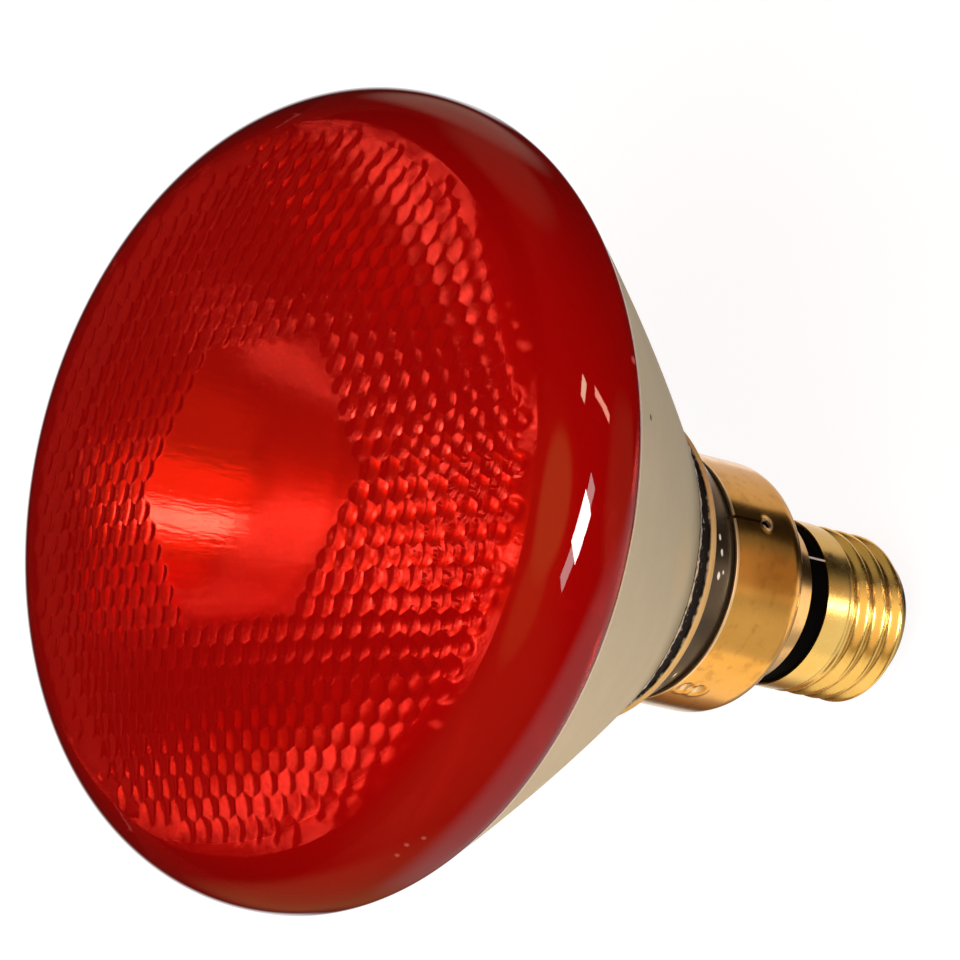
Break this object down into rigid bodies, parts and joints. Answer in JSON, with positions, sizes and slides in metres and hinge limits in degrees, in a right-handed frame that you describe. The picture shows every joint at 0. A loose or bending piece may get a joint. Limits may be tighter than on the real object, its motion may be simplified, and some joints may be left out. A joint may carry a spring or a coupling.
{
  "type": "infrared heat lamp bulb",
  "caption": "Pressed-glass infrared reflector lamp: clear red domed lens with lenslets inside, matt grey cone-shaped bowl and a brass skirted screw cap.",
  "frame": {"origin": "centre of the cap's end contact, on the lamp's axis", "axes": "+Z along the lamp's axis from the cap to the lens; -Y is the side that the picture shows"},
  "size_m": [0.121, 0.121, 0.134],
  "materials": {
    "red_glass": "clear pressed glass, stained red, glossy",
    "coated_glass": "pressed glass with a matt beige-grey coat outside and a mirror inside, bare dark glass at the neck",
    "skirt_brass": "drawn brass, handled, slightly tarnished",
    "shell_brass": "rolled bright brass",
    "contact_brass": "stamped brass",
    "black_glass": "black insulating glass",
    "solder": "dull solder",
    "tungsten": "drawn tungsten wire",
    "lead_metal": "bright nickel-plated wire and sheet",
    "clear_glass": "clear glass tube, melted shut"
  },
  "bodies": {
    "root": {"lens": "red_glass", "reflector": "coated_glass", "cap_skirt": "skirt_brass", "insulator_ring": "black_glass", "screw_shell": "shell_brass", "base_insulator": "black_glass", "centre_contact": "contact_brass", "contact_solder": "solder", "filament": "tungsten", "lead_post_1": "lead_metal", "lead_post_2": "lead_metal", "ferrule_1": "lead_metal", "ferrule_2": "lead_metal", "exhaust_tip": "clear_glass", "centre_lead": "lead_metal", "side_lead": "lead_metal"}
  },
  "joints": []
}
